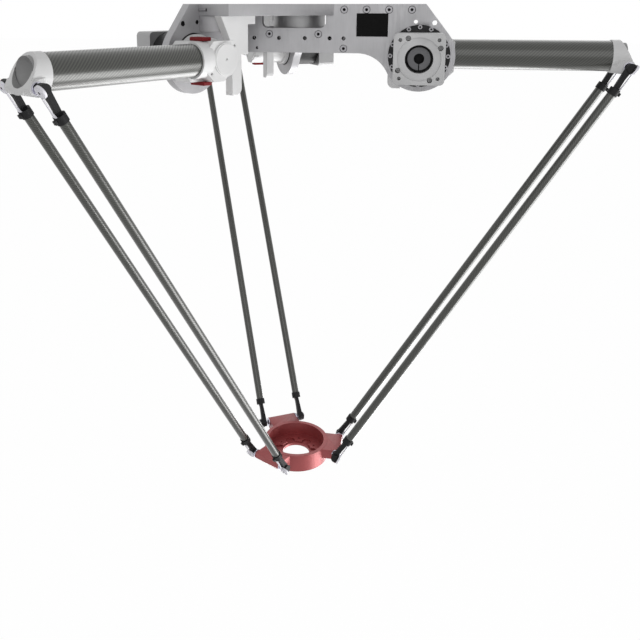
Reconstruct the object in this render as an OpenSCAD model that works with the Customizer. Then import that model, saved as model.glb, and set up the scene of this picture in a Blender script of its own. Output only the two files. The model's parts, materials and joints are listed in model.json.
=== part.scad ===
// Three-arm delta robot: hanging frame, three geared shoulder drives, carbon arms
// and forearm rods, and a red tool platform.
//
// Origin: centre of the top mounting face. +Z is up, so the robot hangs below z = 0.
// Each leg is modelled once, in its own frame: x runs outwards along the leg (r),
// y across it (t), and z = 0 is the height of the shoulder axis.

/* [Frame] */
// Height of the mounting face above the shoulder axes
pivot_drop = 100; // [96:1:130]
// Distance of each shoulder axis from the robot's centre line
pivot_radius = 250; // [240:1:270]
// Thickness of the top plate
top_t = 22; // [16:1:26]
// Distance from a leg's mid-plane to the inner face of its side plate
plate_inner = 57; // [55:0.5:62]
// Thickness of the side plates
plate_t = 18; // [15:0.5:22]
// Width of the top plate's lobe on the free side of a leg
lobe_free = 22; // [14:1:30]
// Distance of the top plate's outer edges from the centre line, short of the shoulder axis by this much
lobe_short = 14; // [8:1:20]
// Radius at which a side plate rises past the top plate's edge
cover_r = 80; // [74:1:84]
// Radius of the round boss at the shoulder end of a side plate
boss_r = 70; // [67:0.5:76]
// Height of a side plate's lower edge above the shoulder axis
plate_low = 4; // [0:1:12]
// Radius of the hollow curve between the lower edge and the boss
sweep_r = 66; // [40:1:90]
// Length of the square top corner beyond the shoulder axis
corner_out = 10; // [0:1:20]
// Thickness of the stop webs and the curved gussets' seat
web_t = 18; // [14:1:24]
// Outer radius of the tube under the middle of the top plate
centre_r = 54; // [46:0.5:54.5]
// Bore of that tube and of the top plate
centre_bore_r = 40; // [30:0.5:43]
// Pitch radius of the three ceiling bolts
ceiling_pitch_r = 200; // [194:0.5:206]
// Radius of the ceiling bolts' holes
ceiling_hole_r = 5.5; // [4:0.5:6.5]

/* [Drive] */
// Radius of the gearbox flange
flange_r = 60; // [57:0.5:62]
// Depth of the flange's seat in the side plate
flange_seat = 9; // [6:0.5:11]
// Radius of the gearbox body
gearbox_r = 46; // [42:0.5:48]
// Length of the gearbox body outside the side plate
gearbox_len = 56; // [40:1:80]
// Pitch radius of the gearbox screws
flange_pitch_r = 56; // [53:0.25:56.5]
// Side of the square motor adapter
adapter_size = 95; // [93:0.5:100]
// Thickness of the motor adapter
adapter_t = 39; // [34:1:50]
// Corner radius of the motor adapter
adapter_corner = 9; // [5:0.5:11]
// Radius of the motor's pilot recess
pilot_r = 40; // [38:0.25:40.5]
// Depth of the pilot recess
pilot_depth = 4; // [3:0.5:6]
// Pitch radius of the motor's four screws
motor_pitch_r = 50; // [49.5:0.25:51]
// Radius of the motor's tapped holes
motor_hole_r = 3.4; // [2.6:0.1:3.6]
// Bore radius of the input hub, for the motor's shaft
shaft_r = 9.5; // [7:0.5:11]
// Outer radius of the input hub
input_r = 21.5; // [19:0.5:23]
// Radius of the opening round the input hub
input_room_r = 26; // [25:0.5:30]

/* [Arm] */
// Length of an arm from the shoulder axis to the elbow balls' axis
arm_length = 400; // [300:5:480]
// Height of the shoulder axis above the elbow balls' axis
elbow_drop = 20; // [14:1:24]
// Outer radius of the carbon arm tube
tube_r = 30; // [26:0.5:31]
// Wall of the arm tube
tube_wall = 2.5; // [1.5:0.25:4]
// Height of the arm hub above and below the shoulder axis
hub_half = 34; // [34:0.5:36]
// Thickness of the red stop buffers
buffer_t = 7; // [5:0.5:9]
// Radius of the round cap on the hub
cap_r = 31; // [26:0.5:32]

/* [Rods] */
// Length of a rod between its two ball centres
rod_length = 1060; // [900:10:1200]
// Outer radius of a carbon rod
rod_r = 8.5; // [8:0.25:9.5]
// Wall of a rod
rod_wall = 2; // [1:0.25:3]
// Distance from a ball's centre to the end of the carbon tube
rod_end = 54; // [50:1:64]
// Distance between the two rods of a leg
rod_spacing = 96; // [94:0.5:104]
// Radius of the balls
ball_r = 6.5; // [6:0.25:7]

/* [Platform] */
// Distance of the platform's ball axes from its centre
platform_radius = 100; // [98:1:115]
// Outer radius of the platform ring
ring_r = 75; // [72:0.5:78]
// Wall of the ring
ring_wall = 9; // [6:0.5:10]
// Height of the ring
ring_h = 40; // [34:1:50]
// Thickness of the ring's floor
floor_t = 10; // [8:0.5:14]
// Radius of the hole in the floor
tool_bore_r = 31.5; // [25:0.5:32]
// Pitch radius of the tool's screws
tool_pitch_r = 40; // [39.5:0.25:41]
// Half width of a platform lug, and of the elbow fittings between their balls
lug_half = 35; // [33:0.5:36]

/* [Hidden] */
$fn = 64;
LEGS = ["a", "b", "c"];
PER_LEG = ["side_plate", "stop_web", "gearbox", "motor_adapter", "input_hub", "gearbox_output",
    "arm_hub", "hub_cap", "arm_tube", "elbow_fitting", "elbow_studs", "stop_buffers",
    "rods", "rod_ends", "rod_clips", "wrist_studs"];

eps = 0.5;              // overshoot of a cut past the face it opens
gap = 0.3;              // clearance between pieces that move past each other
running = 0.05;         // radial clearance of a shaft in its bore
big = 600;              // larger than any piece, for half-space cuts
plate_outer = plate_inner + plate_t;
under_top = pivot_drop - top_t;
top_end = pivot_radius - lobe_short;

// Screws: M8 socket heads in the frame, M5 round the gearbox
screw_r = 4;
screw_head_r = 6.5;
screw_head_h = 8;
counterbore_r = 7.5;
flange_screw_r = 2.5;
flange_screw_head_r = 4.25;
flange_screw_head_h = 4;
flange_screws = 16;
screw_slack = 0.2;

// Side plate details along the leg
top_screw_pitch = 44;
top_screw_rows = [for (k = [0:3]) cover_r + 21 + top_screw_pitch * k];
window_half = 65;
window_low = under_top - 25;
window_corner = 12;
panel_screw_r = 50;
panel_screw_z = plate_low + 37;
cable_hole_z = plate_low + 29;
cable_holes = [-81, -30, 23, 73];
plate_label = [62, 45, 0.8];

// Stop web: outer edge leans in towards the tab, which hangs below the shoulder axis
web_out = pivot_radius - 35;
web_tab_w = 27;
web_tab_low = -72;
web_shoulder = 46;
web_root = 67;           // reach of the web's foot from its outer edge inwards
web_step = 62;           // height of the shoulder above the axis
web_top_out = 28;        // reach of the web's foot outwards
gusset_r = plate_inner - web_t / 2;
gusset_wall = 9;
gusset_h = 30;
gusset_lip = 1;
gusset_low = under_top - gusset_h;

// Drive positions across the leg
flange_face = -plate_outer + 1;
flange_inner = -plate_outer + flange_seat + 1;
gearbox_end = -plate_outer - gearbox_len;
adapter_end = gearbox_end - adapter_t;
output_r = gearbox_r - 2;
output_shaft_r = 25;
output_shaft_end = flange_inner - 30;
input_face = gearbox_end - 20;
input_shaft_r = 12;
input_shaft_len = 18;
adapter_bolt_pitch_r = 43.5;
adapter_bolt_turn = 28.5;

// Arm
hub_front = 26;
hub_back = -(plate_inner - 11);
hub_reach = 70;
hub_low = hub_half + 6;
hub_heel = 4;            // the lower flat starts here, clear of the stop web with the arm down
socket_depth = 32;
buffer_r0 = pivot_radius + 22;
buffer_len = 21;
buffer_half = 24.5;
buffer_front = 12;       // the pads end here on the hub's front side
elbow_r = pivot_radius + arm_length;
sleeve_r = tube_r + 1.5;
fitting_start = elbow_r - 30;
mouth_top = elbow_r - 14;
wing_nose = 13;
collar_r = 10;
stud_r = 5;
neck_r = 3.5;
ball_t = rod_spacing / 2;

// Rods: angle from the vertical with the platform centred below level arms
rod_angle = asin((elbow_r - platform_radius) / rod_length);
platform_drop = elbow_drop + rod_length * cos(rod_angle);
jaw_r = ball_r + 2.7;
jaw_half = 5.5;
jaw_cut = 4.5;
jaw_wall = 2;            // closes the socket on its outer side
cup_r = rod_r + 1.8;
clip_r = 11;
clip_t = 6;

// Platform, heights from the plane of its balls
ring_top = 8;
lug_low = -15;
lug_out = 8;
lug_step = 0.5;          // the lugs' tops lie this far below the ring's
petals = 6;

function leg_turn(i) = -120 * i;

// ---------------------------------------------------------------- helpers

// Puts a piece drawn in a leg's frame on leg i
module on_leg(i) rotate([0, 0, leg_turn(i)]) translate([0, 0, -pivot_drop]) children();

// Extrudes an outline drawn in (r, z) across the leg, from t0 to t1
module across(t0, t1) translate([0, t1, 0]) rotate([90, 0, 0]) linear_extrude(t1 - t0) children();

// Round bar across the leg
module bar_t(rad, t0, t1, r = pivot_radius, z = 0)
    translate([r, t1, z]) rotate([90, 0, 0]) cylinder(r = rad, h = t1 - t0);

// Round bar along the leg
module bar_r(rad, r0, r1, t = 0, z = 0)
    translate([r0, t, z]) rotate([0, 90, 0]) cylinder(r = rad, h = r1 - r0);

// Square with true round corners
module rounded_square(size, corner) {
    inner = size - 2 * corner;
    square([size, inner], center = true);
    square([inner, size], center = true);
    for (x = [-1, 1], y = [-1, 1]) translate([x, y] * inner / 2) circle(corner);
}

// Socket-head screw lying across the leg: head at t0, point towards +t
module cap_screw(rad, head_r, head_h, len) rotate([-90, 0, 0]) {
    difference() {
        cylinder(r = head_r, h = head_h);
        translate([0, 0, -eps]) cylinder(r = head_r * 0.5, h = head_h * 0.6 + eps, $fn = 6);
    }
    translate([0, 0, head_h]) cylinder(r = rad, h = len);
}

// Mirrors a piece to both rods of a leg
module both_rods() {
    children();
    mirror([0, 1, 0]) children();
}

// ---------------------------------------------------------------- frame

// One leg's share of the top plate's outline, counter-clockwise
function lobe_points(turn) = [for (p = [[cover_r, -plate_outer], [cover_r, -plate_inner],
    [top_end, -plate_inner], [top_end, lobe_free]])
    [p.x * cos(turn) - p.y * sin(turn), p.x * sin(turn) + p.y * cos(turn)]];

module top_plate() color([0.62, 0.62, 0.65]) difference() {
    translate([0, 0, -top_t]) linear_extrude(top_t)
        polygon([for (k = [0:2]) each lobe_points(120 * k)]);
    translate([0, 0, -top_t - eps]) cylinder(r = centre_bore_r, h = top_t + 2 * eps);
    for (i = [0:2]) {
        rotate([0, 0, leg_turn(i) - asin(gusset_r * 0.7 / ceiling_pitch_r)])
            translate([ceiling_pitch_r, 0, -top_t - eps]) cylinder(r = ceiling_hole_r, h = top_t + 2 * eps);
        on_leg(i) for (r = top_screw_rows)
            bar_t(screw_r + screw_slack, -plate_inner - eps, -plate_inner + 22, r, pivot_drop - top_t / 2);
    }
}

module side_plate_outline() {
    sweep_z = plate_low - sweep_r;
    sweep_x = pivot_radius - sqrt(pow(sweep_r + boss_r, 2) - sweep_z * sweep_z);
    touch = sweep_r / (sweep_r + boss_r);
    corner = [corner_out, pivot_drop];
    slant = atan2(corner.y, corner.x) - acos(boss_r / norm(corner));
    difference() {
        union() {
            polygon([[-2 * cover_r, plate_low], [sweep_x, plate_low],
                [sweep_x + touch * (pivot_radius - sweep_x), sweep_z * (1 - touch)],
                [pivot_radius, 0],
                [pivot_radius + boss_r * cos(slant), boss_r * sin(slant)],
                [pivot_radius + corner.x, corner.y], [-2 * cover_r, pivot_drop]]);
            translate([pivot_radius, 0]) circle(boss_r, $fn = 96);
        }
        translate([sweep_x, sweep_z]) circle(sweep_r, $fn = 96);
        // under the top plate
        translate([-big, under_top]) square([big + cover_r, big]);
        // window, open at the top
        translate([-window_half, window_low + window_corner]) square([2 * window_half, big]);
        translate([-window_half + window_corner, window_low])
            square([2 * (window_half - window_corner), big]);
        for (s = [-1, 1]) translate([s * (window_half - window_corner), window_low + window_corner])
            circle(window_corner);
    }
}

module side_plate(i) color([0.58, 0.57, 0.60]) on_leg(i) difference() {
    across(-plate_outer, -plate_inner) side_plate_outline();
    // mitre against the inner face of the neighbouring side plate
    rotate([0, 0, -120]) translate([-big, -plate_inner - big, -big]) cube([2 * big, big, 2 * big]);
    // gearbox seat and bore
    bar_t(flange_r + gap, -plate_outer - eps, flange_inner);
    bar_t(gearbox_r + gap, -plate_outer - eps, -plate_inner + eps);
    for (r = top_screw_rows) frame_screw_hole(r, pivot_drop - top_t / 2);
    frame_screw_hole(top_screw_rows[0], plate_low + 9);
    for (r = [-panel_screw_r, panel_screw_r]) frame_screw_hole(r, panel_screw_z);
    for (r = concat(cable_holes, [top_screw_rows[0]]))
        bar_t(screw_r, -plate_outer - eps, -plate_inner + eps, r, cable_hole_z);
    bar_t(3, -plate_outer - eps, -plate_inner + eps, -75, plate_low + 9);
    bar_t(screw_r, -plate_outer - eps, -plate_inner + eps, pivot_radius - 8.5, flange_r + 6);
    bar_t(screw_r + 1, -plate_outer - eps, -plate_inner + eps, pivot_radius + 28, flange_r + 4);
}

// Counterbored hole for a frame screw, from the outer face
module frame_screw_hole(r, z) {
    bar_t(counterbore_r, -plate_outer - eps, -plate_outer + screw_head_h + eps, r, z);
    bar_t(screw_r + screw_slack, -plate_outer - eps, -plate_inner + eps, r, z);
}

module frame_screws() color([0.25, 0.25, 0.26]) for (i = [0:2]) on_leg(i) {
    for (r = top_screw_rows) translate([r, -plate_outer + eps, pivot_drop - top_t / 2])
        cap_screw(screw_r, screw_head_r, screw_head_h, plate_t + 10);
    translate([top_screw_rows[0], -plate_outer + eps, plate_low + 9])
        cap_screw(screw_r, screw_head_r, screw_head_h, plate_t - screw_head_h - 1);
    for (r = [-panel_screw_r, panel_screw_r]) translate([r, -plate_outer + eps, panel_screw_z])
        cap_screw(screw_r, screw_head_r, screw_head_h, plate_t - screw_head_h - 1);
}

module rating_plate() color([0.05, 0.05, 0.05]) on_leg(0)
    translate([pivot_radius - flange_r - 2 - plate_label.x, -plate_outer - plate_label.z, panel_screw_z - 4])
        cube([plate_label.x, plate_label.z, plate_label.y]);

module stop_web(i) color([0.90, 0.90, 0.90]) on_leg(i) across(-web_t / 2, web_t / 2) {
    tab_in = web_out - web_tab_w;
    round_in = 14;
    difference() {
        polygon([[web_out - web_root, under_top], [web_out + web_top_out, under_top], [web_out + 4, 33], [web_out, 5],
            [web_out, web_tab_low], [tab_in, web_tab_low], [tab_in, 5], [web_out - web_shoulder, 5],
            [web_out - web_shoulder, web_step], [web_out - web_root, web_step]]);
        // round on the tab's inner lower corner
        difference() {
            translate([tab_in - eps, web_tab_low - eps]) square(round_in + eps);
            translate([tab_in + round_in, web_tab_low + round_in]) circle(round_in);
        }
    }
}

// Curved gusset between each side plate and its stop web, under the lobe
module corner_gussets() color([0.60, 0.60, 0.63]) for (i = [0:2]) on_leg(i) intersection() {
    translate([top_end - gusset_r - gusset_lip, -plate_inner, gusset_low]) difference() {
        cylinder(r = gusset_r, h = under_top - gusset_low);
        translate([0, 0, -eps]) cylinder(r = gusset_r - gusset_wall, h = big);
    }
    translate([top_end - gusset_r - gusset_lip, -plate_inner, gusset_low]) cube([gusset_r, gusset_r, big]);
}

module centre_tube() color([0.75, 0.75, 0.77]) difference() {
    translate([0, 0, -pivot_drop + plate_low]) cylinder(r = centre_r, h = under_top - plate_low);
    translate([0, 0, -pivot_drop]) cylinder(r = centre_bore_r, h = pivot_drop);
}

// ---------------------------------------------------------------- drive

module flange_screw_places() for (k = [0:flange_screws - 1])
    translate([pivot_radius, 0, 0]) rotate([0, 360 / flange_screws * k, 0])
        translate([flange_pitch_r, flange_face - flange_screw_head_h, 0]) children();

module gearbox(i) color([0.07, 0.07, 0.08]) on_leg(i) difference() {
    union() {
        bar_t(flange_r, flange_face, flange_inner);
        bar_t(gearbox_r, gearbox_end, flange_inner);
    }
    bar_t(output_shaft_r + running, output_shaft_end - gap, flange_inner + eps);
    bar_t(input_shaft_r + running, gearbox_end - eps, gearbox_end + input_shaft_len + gap);
    flange_screw_places() rotate([-90, 0, 0])
        cylinder(r = flange_screw_r + screw_slack, h = flange_screw_head_h + flange_seat + eps);
}

module gearbox_screws() color([0.45, 0.45, 0.47]) for (i = [0:2]) on_leg(i)
    flange_screw_places() cap_screw(flange_screw_r, flange_screw_head_r, flange_screw_head_h, flange_seat - 1);

module motor_adapter(i) color([0.72, 0.72, 0.72]) on_leg(i) difference() {
    translate([pivot_radius, 0, 0]) across(adapter_end, gearbox_end)
        rounded_square(adapter_size, adapter_corner);
    bar_t(pilot_r, adapter_end - eps, adapter_end + pilot_depth);
    bar_t(input_room_r, adapter_end - eps, gearbox_end + eps);
    translate([pivot_radius, 0, 0]) for (k = [0:3]) {
        rotate([0, 45 + 90 * k, 0]) bar_t(motor_hole_r, adapter_end - eps, adapter_end + 20, motor_pitch_r);
        rotate([0, -adapter_bolt_turn + 90 * k, 0])
            bar_t(5, adapter_end - eps, adapter_end + 25, adapter_bolt_pitch_r);
    }
}

module input_hub(i) color([0.45, 0.45, 0.46]) on_leg(i) difference() {
    union() {
        bar_t(input_r, input_face, gearbox_end - 2);
        bar_t(input_shaft_r, gearbox_end - 3, gearbox_end + input_shaft_len);
    }
    bar_t(shaft_r, input_face - eps, gearbox_end - 3);
    translate([pivot_radius - 0.75, input_face - eps, -input_r - eps]) cube([1.5, 14 + eps, input_r]);
}

module gearbox_output(i) color([0.10, 0.10, 0.11]) on_leg(i) {
    bar_t(output_r, flange_inner + gap, -plate_inner + 1);
    bar_t(output_shaft_r, output_shaft_end, flange_inner + 1);
}

// ---------------------------------------------------------------- arm

module hub_profile(reach, cut) polygon([
    [pivot_radius - 24, hub_half], [pivot_radius + reach - cut, hub_half],
    [pivot_radius + reach, hub_half - cut], [pivot_radius + reach, -hub_low + cut],
    [pivot_radius + reach - cut, -hub_low], [pivot_radius + hub_heel, -hub_low],
    [pivot_radius - 31, -14], [pivot_radius - 32, 14]]);

module arm_hub(i) color([0.90, 0.90, 0.89]) on_leg(i) difference() {
    union() {
        bar_t(output_r, -plate_inner + 1, hub_back);
        bar_t(hub_half + 4, hub_back, -web_t / 2 - 4);
        bar_t(hub_half - 1, -web_t / 2 - 4, hub_front);
        across(hub_back + 4, -2) intersection() {
            hub_profile(hub_reach, 8);
            translate([pivot_radius + hub_heel, -big]) square([big, 2 * big]);
        }
        across(-2, hub_front) hub_profile(hub_reach - 18, 22);
        bar_r(tube_r + 4, pivot_radius + 34, pivot_radius + hub_reach - 8);
    }
    bar_r(tube_r, pivot_radius + hub_reach - socket_depth, pivot_radius + hub_reach + eps);
    // four screw holes in the face
    for (p = [[-25, 24], [37, 19], [36, -25], [-25, -22]])
        bar_t(2.6, hub_front - 10, hub_front + eps, pivot_radius + p[0], p[1]);
}

module hub_cap(i) color([0.86, 0.86, 0.86]) on_leg(i) difference() {
    union() {
        bar_t(cap_r, hub_front, hub_front + 3);
        bar_t(cap_r - 2.5, hub_front + 3, hub_front + 4);
    }
    bar_t(2, hub_front - eps, hub_front + 5);
}

module stop_buffers(i) color([0.72, 0.05, 0.06]) on_leg(i) for (z = [hub_half, -hub_low - buffer_t])
    translate([buffer_r0, -buffer_half, z]) cube([buffer_len, buffer_half + buffer_front, buffer_t]);

module arm_tube(i) color([0.20, 0.20, 0.20]) on_leg(i) difference() {
    bar_r(tube_r, pivot_radius + hub_reach - socket_depth, fitting_start + 12);
    bar_r(tube_r - tube_wall, pivot_radius + hub_reach - socket_depth - eps, fitting_start + 12 + eps);
}

// Cross wing of the elbow fitting: side profile cut by a flared plan
module elbow_wing() intersection() {
    across(-lug_half, lug_half) {
        polygon([[fitting_start, -sleeve_r], [elbow_r - 4, -elbow_drop - wing_nose],
            [elbow_r, -elbow_drop - wing_nose], [elbow_r, -elbow_drop + wing_nose], [fitting_start, -4]]);
        translate([elbow_r, -elbow_drop]) circle(wing_nose);
    }
    translate([0, 0, -pivot_drop]) linear_extrude(pivot_drop) polygon([
        [fitting_start, -sleeve_r * 0.6], [elbow_r - 12, -lug_half], [elbow_r + big, -lug_half],
        [elbow_r + big, lug_half], [elbow_r - 12, lug_half], [fitting_start, sleeve_r * 0.6]]);
}

module elbow_fitting(i) color([0.85, 0.85, 0.85]) on_leg(i) {
    lean = atan2(sleeve_r + elbow_drop, elbow_r + wing_nose - mouth_top);
    difference() {
        union() {
            bar_r(sleeve_r, fitting_start, elbow_r + wing_nose);
            elbow_wing();
        }
        // oblique mouth
        translate([mouth_top, 0, sleeve_r]) rotate([0, lean, 0]) translate([-big, -big, 0])
            cube([2 * big, 2 * big, big]);
        bar_r(tube_r, fitting_start - eps, fitting_start + 12);
        bar_r(tube_r - 4, fitting_start - eps, elbow_r, 0, 0);
        bar_r(tube_r - 6, elbow_r - 1, elbow_r + big, 0, 3);
        both_rods() bar_t(stud_r + running, lug_half - 9, lug_half + eps, elbow_r, -elbow_drop);
    }
}

// Ball stud at (r, z): collar, neck and ball beyond the face at t = lug_half
module ball_stud(r, z, seat, shank) {
    ball_neck = lug_half + 4.5;
    bar_t(collar_r, seat, lug_half + 2.5, r, z);
    translate([r, ball_neck, z]) rotate([90, 0, 0]) cylinder(r1 = neck_r, r2 = collar_r - 2, h = 2.5);
    bar_t(neck_r, lug_half + 1, ball_t, r, z);
    translate([r, ball_t, z]) rotate([90, 0, 0]) sphere(ball_r);
    if (shank > 0) bar_t(stud_r, lug_half - shank, lug_half + 1, r, z);
}

module elbow_studs(i) color([0.74, 0.72, 0.84]) on_leg(i)
    both_rods() ball_stud(elbow_r, -elbow_drop, lug_half, 8.5);

// ---------------------------------------------------------------- rods

// A rod pair's frame: origin on the elbow balls' axis, -z along the rods, x outwards
module rod_frame(i) on_leg(i) translate([elbow_r, 0, -elbow_drop]) rotate([0, rod_angle, 0]) children();

// Both ends of both rods: a piece drawn for the elbow end of the +t rod
module four_ends() both_rods() {
    children();
    translate([0, 0, -rod_length]) mirror([0, 0, 1]) children();
}

module rods(i) color([0.20, 0.20, 0.20]) rod_frame(i) both_rods() difference() {
    translate([0, ball_t, -rod_length + rod_end]) cylinder(r = rod_r, h = rod_length - 2 * rod_end);
    translate([0, ball_t, -rod_length]) cylinder(r = rod_r - rod_wall, h = rod_length);
}

// Black moulded rod end: open jaw over the ball, bent neck, cup on the tube
module rod_end_piece() {
    neck_low = -rod_end + 8;
    difference() {
        union() {
            bar_t(jaw_r, ball_t - jaw_half, ball_t + ball_r + jaw_wall, 0, 0);
            across(ball_t - jaw_half + 0.5, ball_t + jaw_half - 0.5) polygon([
                [-jaw_r, 2], [-jaw_r + 1.5, -12], [-5.5, neck_low], [5, neck_low], [3, -24], [3.5, -9], [0, 0]]);
            translate([0, ball_t, -rod_end - 6]) cylinder(r = cup_r, h = 14);
            translate([cup_r - 2, ball_t - 3, -rod_end - 2]) cube([5.5, 6, 7]);
        }
        translate([0, ball_t, 0]) rotate([90, 0, 0]) sphere(ball_r + gap);
        translate([jaw_cut, -big, -jaw_r - eps]) cube([big, 2 * big, 2 * jaw_r + 2 * eps]);
        translate([0, ball_t, -rod_end - 6 - eps]) cylinder(r = rod_r + running, h = 6 + eps);
    }
}

module rod_ends(i) color([0.08, 0.08, 0.09]) rod_frame(i) four_ends() rod_end_piece();

// Quick-release clip: round cap closing the jaw, hexagon hole, lever down to the cup
module clip_piece() {
    cap_t = lug_half + 5.5 + clip_r;
    lever_low = -rod_end + 8;
    difference() {
        union() {
            translate([jaw_cut, cap_t, 0]) rotate([0, 90, 0]) cylinder(r = clip_r, h = clip_t);
            translate([jaw_cut + 1.5, ball_t - 2.5, lever_low]) cube([3.5, 5, -lever_low - 6]);
        }
        translate([0, ball_t, 0]) rotate([90, 0, 0]) sphere(ball_r + gap);
        translate([jaw_cut + clip_t - 3, cap_t, 0]) rotate([0, 90, 0]) cylinder(r = 4, h = 5, $fn = 6);
    }
}

module rod_clips(i) color([0.86, 0.85, 0.92]) rod_frame(i) four_ends() clip_piece();

// Ball studs of the platform end, carried by the rods and parted from the lug's side face
module wrist_studs(i) color([0.74, 0.72, 0.84]) on_leg(i)
    both_rods() ball_stud(platform_radius, -platform_drop, lug_half + gap, 0);

// ---------------------------------------------------------------- platform

// Six-lobed recess in the floor of the ring
module petal_outline() {
    circle(tool_bore_r + 4);
    for (k = [0:petals - 1]) rotate(360 / petals * k) translate([tool_bore_r + 9, 0]) circle(11);
}

module platform() color([0.72, 0.14, 0.14]) translate([0, 0, -pivot_drop - platform_drop]) {
    floor_top = ring_top - ring_h + floor_t;
    difference() {
        union() {
            // the ring's seam lies between two lugs
            rotate(30) translate([0, 0, ring_top - ring_h]) cylinder(r = ring_r, h = ring_h);
            for (i = [0:2]) rotate([0, 0, leg_turn(i)]) difference() {
                lug_in = ring_r - ring_wall - 8;
                translate([lug_in, -lug_half, lug_low])
                    cube([platform_radius + lug_out - lug_in, 2 * lug_half, ring_top - lug_step - lug_low]);
                // chamfer under the lug's outer edge
                translate([platform_radius + lug_out, 0, lug_low]) rotate([0, 45, 0])
                    cube([14, 4 * lug_half, 14], center = true);
            }
        }
        rotate(30) translate([0, 0, floor_top]) cylinder(r = ring_r - ring_wall, h = ring_h);
        translate([0, 0, floor_top - 4]) linear_extrude(floor_t) petal_outline();
        translate([0, 0, -ring_h]) cylinder(r = tool_bore_r, h = ring_h);
        for (k = [0:petals - 1]) rotate(360 / petals * (k + 0.5))
            translate([tool_pitch_r + 6, 0, -ring_h]) cylinder(r = 2.5, h = ring_h);
    }
}

// ---------------------------------------------------------------- nodes

top_plate();
centre_tube();
corner_gussets();
frame_screws();
gearbox_screws();
rating_plate();
platform();
for (i = [0:2]) {
    leg = LEGS[i];
    side_plate(i);
    stop_web(i);
    gearbox(i);
    motor_adapter(i);
    input_hub(i);
    gearbox_output(i);
    arm_hub(i);
    hub_cap(i);
    arm_tube(i);
    elbow_fitting(i);
    elbow_studs(i);
    stop_buffers(i);
    rods(i);
    rod_ends(i);
    rod_clips(i);
    wrist_studs(i);
}
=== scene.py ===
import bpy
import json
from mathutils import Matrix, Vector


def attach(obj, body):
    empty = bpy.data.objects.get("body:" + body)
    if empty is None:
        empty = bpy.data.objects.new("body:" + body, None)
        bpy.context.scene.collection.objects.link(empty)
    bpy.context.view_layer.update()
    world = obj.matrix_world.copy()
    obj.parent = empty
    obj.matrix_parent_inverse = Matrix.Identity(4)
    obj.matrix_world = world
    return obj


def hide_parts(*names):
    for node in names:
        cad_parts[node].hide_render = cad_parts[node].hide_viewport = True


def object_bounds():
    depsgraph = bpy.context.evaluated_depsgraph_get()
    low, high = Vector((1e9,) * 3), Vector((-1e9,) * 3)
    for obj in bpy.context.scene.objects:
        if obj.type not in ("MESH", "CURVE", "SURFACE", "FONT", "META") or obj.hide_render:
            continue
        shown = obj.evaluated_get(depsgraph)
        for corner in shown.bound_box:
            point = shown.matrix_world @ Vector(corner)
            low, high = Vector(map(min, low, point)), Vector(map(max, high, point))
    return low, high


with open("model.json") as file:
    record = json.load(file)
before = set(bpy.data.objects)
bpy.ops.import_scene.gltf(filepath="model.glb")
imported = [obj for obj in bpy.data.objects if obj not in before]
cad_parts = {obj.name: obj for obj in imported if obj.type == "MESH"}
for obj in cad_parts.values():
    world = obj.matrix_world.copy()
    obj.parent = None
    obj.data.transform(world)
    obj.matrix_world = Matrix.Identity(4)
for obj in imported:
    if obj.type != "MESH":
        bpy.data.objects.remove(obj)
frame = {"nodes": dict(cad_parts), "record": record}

"""Delta robot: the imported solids, dressed with finishes and finely shaped pieces."""

import json
import logging
import math
from dataclasses import dataclass, field
from enum import Enum

import bmesh
import bpy
import numpy as np
from mathutils import Vector
from mathutils.bvhtree import BVHTree

LOG = logging.getLogger("delta_robot")
CAD_BOX = [list(corner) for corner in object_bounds()]
LEGS = ("a", "b", "c")
RGB = tuple[float, float, float]
Place = tuple[float, float, float]
Grid = np.ndarray
Shell = tuple[Grid, np.ndarray]
WovenShell = tuple[Grid, np.ndarray, np.ndarray]

# New pieces: edges sharper than this stay sharp, and points closer than this are one.
CREASE = math.radians(35)
POLE_GAP = 1e-7

# Noise: the range that its values keep to, and the octaves of a soft cloud and of a fine grain.
NOISE_SPAN = (0.3, 0.7)
CLOUD_DETAIL = 4
GRAIN_DETAIL = 2

# Bumps of grain and peel: the share that shows, and the samples of the rounded edge under them.
BUMP_STRENGTH = 0.6
EDGE_SAMPLES = 4

# Mix node: its inputs for two numbers and for two colours, and its output for a colour.
MIX_NUMBERS = (2, 3)
MIX_COLOURS = (6, 7)
MIXED_COLOUR = 2


class Coords(Enum):
    """What a pattern is fixed to: the object's own space, or the map that its weave follows."""

    OBJECT = "Object"
    WEAVE = "UV"


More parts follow.
